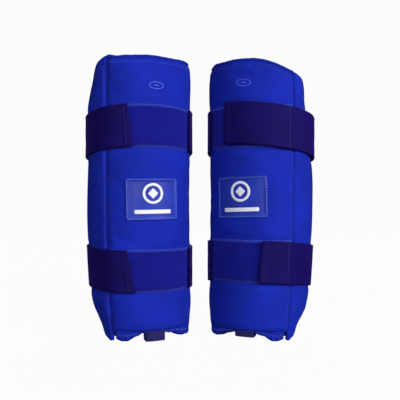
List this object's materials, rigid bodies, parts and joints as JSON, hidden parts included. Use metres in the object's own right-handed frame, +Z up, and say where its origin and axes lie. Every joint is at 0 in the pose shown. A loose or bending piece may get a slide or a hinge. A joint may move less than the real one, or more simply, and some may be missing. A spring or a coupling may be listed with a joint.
{
  "type": "forearm guard pair",
  "caption": "Pair of padded forearm guards: cloth-covered foam panels that wrap the arm, closed by elastic hook-and-loop straps.",
  "frame": {"origin": "centre of the pair's footprint, on the surface that the guards stand on", "axes": "+Z up along the guards' length, -Y the side that the front panels face, +X from the left guard to the right guard"},
  "size_m": [0.2286, 0.0998, 0.268],
  "materials": {
    "cover_cloth": "royal blue knitted cloth",
    "piping_cloth": "blue bias tape",
    "lining_cloth": "brushed lining",
    "foam_core": "closed-cell foam",
    "elastic_webbing": "indigo twill elastic",
    "loop_tape": "napped loop pile",
    "hook_tape": "nylon hooks",
    "ribbon": "ribbed elastic ribbon",
    "thread": "polyester thread",
    "badge_vinyl": "semi-gloss moulded vinyl",
    "white_print": "raised white print",
    "mark_print": "pale blue print"
  },
  "bodies": {
    "left_guard": {"left_front_cover": "cover_cloth", "left_front_foam": "foam_core", "left_front_lining": "lining_cloth", "left_rim_piping": "piping_cloth", "left_bottom_hem": "cover_cloth", "left_seam_threads": "thread", "left_badge": "badge_vinyl", "left_badge_print": "white_print", "left_size_mark": "mark_print", "left_hand_loop": "ribbon", "left_upper_loop_band": "loop_tape", "left_lower_loop_band": "loop_tape", "left_upper_strap_anchor": "elastic_webbing", "left_lower_strap_anchor": "elastic_webbing"},
    "left_outer_wing": {"left_outer_wing_cover": "cover_cloth", "left_outer_wing_foam": "foam_core", "left_outer_wing_lining": "lining_cloth"},
    "left_inner_wing": {"left_inner_wing_cover": "cover_cloth", "left_inner_wing_foam": "foam_core", "left_inner_wing_lining": "lining_cloth"},
    "left_upper_strap_back": {"left_upper_strap_back": "elastic_webbing"},
    "left_upper_strap_side": {"left_upper_strap_side": "elastic_webbing"},
    "left_upper_strap_end": {"left_upper_strap_front": "elastic_webbing", "left_upper_hook_tape": "hook_tape"},
    "left_lower_strap_back": {"left_lower_strap_back": "elastic_webbing"},
    "left_lower_strap_side": {"left_lower_strap_side": "elastic_webbing"},
    "left_lower_strap_end": {"left_lower_strap_front": "elastic_webbing", "left_lower_hook_tape": "hook_tape"},
    "right_guard": {"right_front_cover": "cover_cloth", "right_front_foam": "foam_core", "right_front_lining": "lining_cloth", "right_rim_piping": "piping_cloth", "right_bottom_hem": "cover_cloth", "right_seam_threads": "thread", "right_badge": "badge_vinyl", "right_badge_print": "white_print", "right_size_mark": "mark_print", "right_hand_loop": "ribbon", "right_upper_loop_band": "loop_tape", "right_lower_loop_band": "loop_tape", "right_upper_strap_anchor": "elastic_webbing", "right_lower_strap_anchor": "elastic_webbing"},
    "right_outer_wing": {"right_outer_wing_cover": "cover_cloth", "right_outer_wing_foam": "foam_core", "right_outer_wing_lining": "lining_cloth"},
    "right_inner_wing": {"right_inner_wing_cover": "cover_cloth", "right_inner_wing_foam": "foam_core", "right_inner_wing_lining": "lining_cloth"},
    "right_upper_strap_back": {"right_upper_strap_back": "elastic_webbing"},
    "right_upper_strap_side": {"right_upper_strap_side": "elastic_webbing"},
    "right_upper_strap_end": {"right_upper_strap_front": "elastic_webbing", "right_upper_hook_tape": "hook_tape"},
    "right_lower_strap_back": {"right_lower_strap_back": "elastic_webbing"},
    "right_lower_strap_side": {"right_lower_strap_side": "elastic_webbing"},
    "right_lower_strap_end": {"right_lower_strap_front": "elastic_webbing", "right_lower_hook_tape": "hook_tape"}
  },
  "joints": [
    {"name": "left_outer_wing_fold", "type": "hinge", "parent": "left_guard", "child": "left_outer_wing", "pos_m": [-0.08426, -0.03223, 0.13], "axis": [0, 0, -1], "range_deg": [0, 12], "stiffness_Nm_per_rad": 0.08},
    {"name": "left_inner_wing_fold", "type": "hinge", "parent": "left_guard", "child": "left_inner_wing", "pos_m": [-0.02087, -0.00267, 0.13], "axis": [0, 0, 1], "range_deg": [0, 12], "stiffness_Nm_per_rad": 0.08},
    {"name": "left_upper_strap_swing", "type": "hinge", "parent": "left_guard", "child": "left_upper_strap_back", "pos_m": [-0.04219, 0.04901, 0.2], "axis": [0, 0, -1], "range_deg": [0, 44]},
    {"name": "left_upper_strap_unwrap", "type": "hinge", "parent": "left_upper_strap_back", "child": "left_upper_strap_side", "pos_m": [-0.11015, 0.01732, 0.2], "axis": [0, 0, -1], "range_deg": [0, 66]},
    {"name": "left_upper_strap_peel", "type": "hinge", "parent": "left_upper_strap_side", "child": "left_upper_strap_end", "pos_m": [-0.08064, -0.04783, 0.2], "axis": [0, 0, -1], "range_deg": [0, 110]},
    {"name": "left_lower_strap_swing", "type": "hinge", "parent": "left_guard", "child": "left_lower_strap_back", "pos_m": [-0.04219, 0.04901, 0.066], "axis": [0, 0, -1], "range_deg": [0, 44]},
    {"name": "left_lower_strap_unwrap", "type": "hinge", "parent": "left_lower_strap_back", "child": "left_lower_strap_side", "pos_m": [-0.11015, 0.01732, 0.066], "axis": [0, 0, -1], "range_deg": [0, 66]},
    {"name": "left_lower_strap_peel", "type": "hinge", "parent": "left_lower_strap_side", "child": "left_lower_strap_end", "pos_m": [-0.08064, -0.04783, 0.066], "axis": [0, 0, -1], "range_deg": [0, 110]},
    {"name": "right_outer_wing_fold", "type": "hinge", "parent": "right_guard", "child": "right_outer_wing", "pos_m": [0.08426, -0.03223, 0.13], "axis": [0, 0, 1], "range_deg": [0, 12], "stiffness_Nm_per_rad": 0.08},
    {"name": "right_inner_wing_fold", "type": "hinge", "parent": "right_guard", "child": "right_inner_wing", "pos_m": [0.02087, -0.00267, 0.13], "axis": [0, 0, -1], "range_deg": [0, 12], "stiffness_Nm_per_rad": 0.08},
    {"name": "right_upper_strap_swing", "type": "hinge", "parent": "right_guard", "child": "right_upper_strap_back", "pos_m": [0.04219, 0.04901, 0.2], "axis": [0, 0, 1], "range_deg": [0, 44]},
    {"name": "right_upper_strap_unwrap", "type": "hinge", "parent": "right_upper_strap_back", "child": "right_upper_strap_side", "pos_m": [0.11015, 0.01732, 0.2], "axis": [0, 0, 1], "range_deg": [0, 66]},
    {"name": "right_upper_strap_peel", "type": "hinge", "parent": "right_upper_strap_side", "child": "right_upper_strap_end", "pos_m": [0.08064, -0.04783, 0.2], "axis": [0, 0, 1], "range_deg": [0, 110]},
    {"name": "right_lower_strap_swing", "type": "hinge", "parent": "right_guard", "child": "right_lower_strap_back", "pos_m": [0.04219, 0.04901, 0.076], "axis": [0, 0, 1], "range_deg": [0, 44]},
    {"name": "right_lower_strap_unwrap", "type": "hinge", "parent": "right_lower_strap_back", "child": "right_lower_strap_side", "pos_m": [0.11015, 0.01732, 0.076], "axis": [0, 0, 1], "range_deg": [0, 66]},
    {"name": "right_lower_strap_peel", "type": "hinge", "parent": "right_lower_strap_side", "child": "right_lower_strap_end", "pos_m": [0.08064, -0.04783, 0.076], "axis": [0, 0, 1], "range_deg": [0, 110]},
    {"name": "pair_spread", "type": "slide", "parent": "left_guard", "child": "right_guard", "axis": [1, 0, 0], "range_m": [0, 0.15]}
  ],
  "couplings": [
    {"joint": "left_inner_wing_fold", "follows": "left_outer_wing_fold", "ratio": 1},
    {"joint": "left_upper_strap_swing", "follows": "left_upper_strap_peel", "ratio": 0.4},
    {"joint": "left_upper_strap_unwrap", "follows": "left_upper_strap_peel", "ratio": 0.6},
    {"joint": "left_lower_strap_swing", "follows": "left_lower_strap_peel", "ratio": 0.4},
    {"joint": "left_lower_strap_unwrap", "follows": "left_lower_strap_peel", "ratio": 0.6},
    {"joint": "right_inner_wing_fold", "follows": "right_outer_wing_fold", "ratio": 1},
    {"joint": "right_upper_strap_swing", "follows": "right_upper_strap_peel", "ratio": 0.4},
    {"joint": "right_upper_strap_unwrap", "follows": "right_upper_strap_peel", "ratio": 0.6},
    {"joint": "right_lower_strap_swing", "follows": "right_lower_strap_peel", "ratio": 0.4},
    {"joint": "right_lower_strap_unwrap", "follows": "right_lower_strap_peel", "ratio": 0.6}
  ]
}
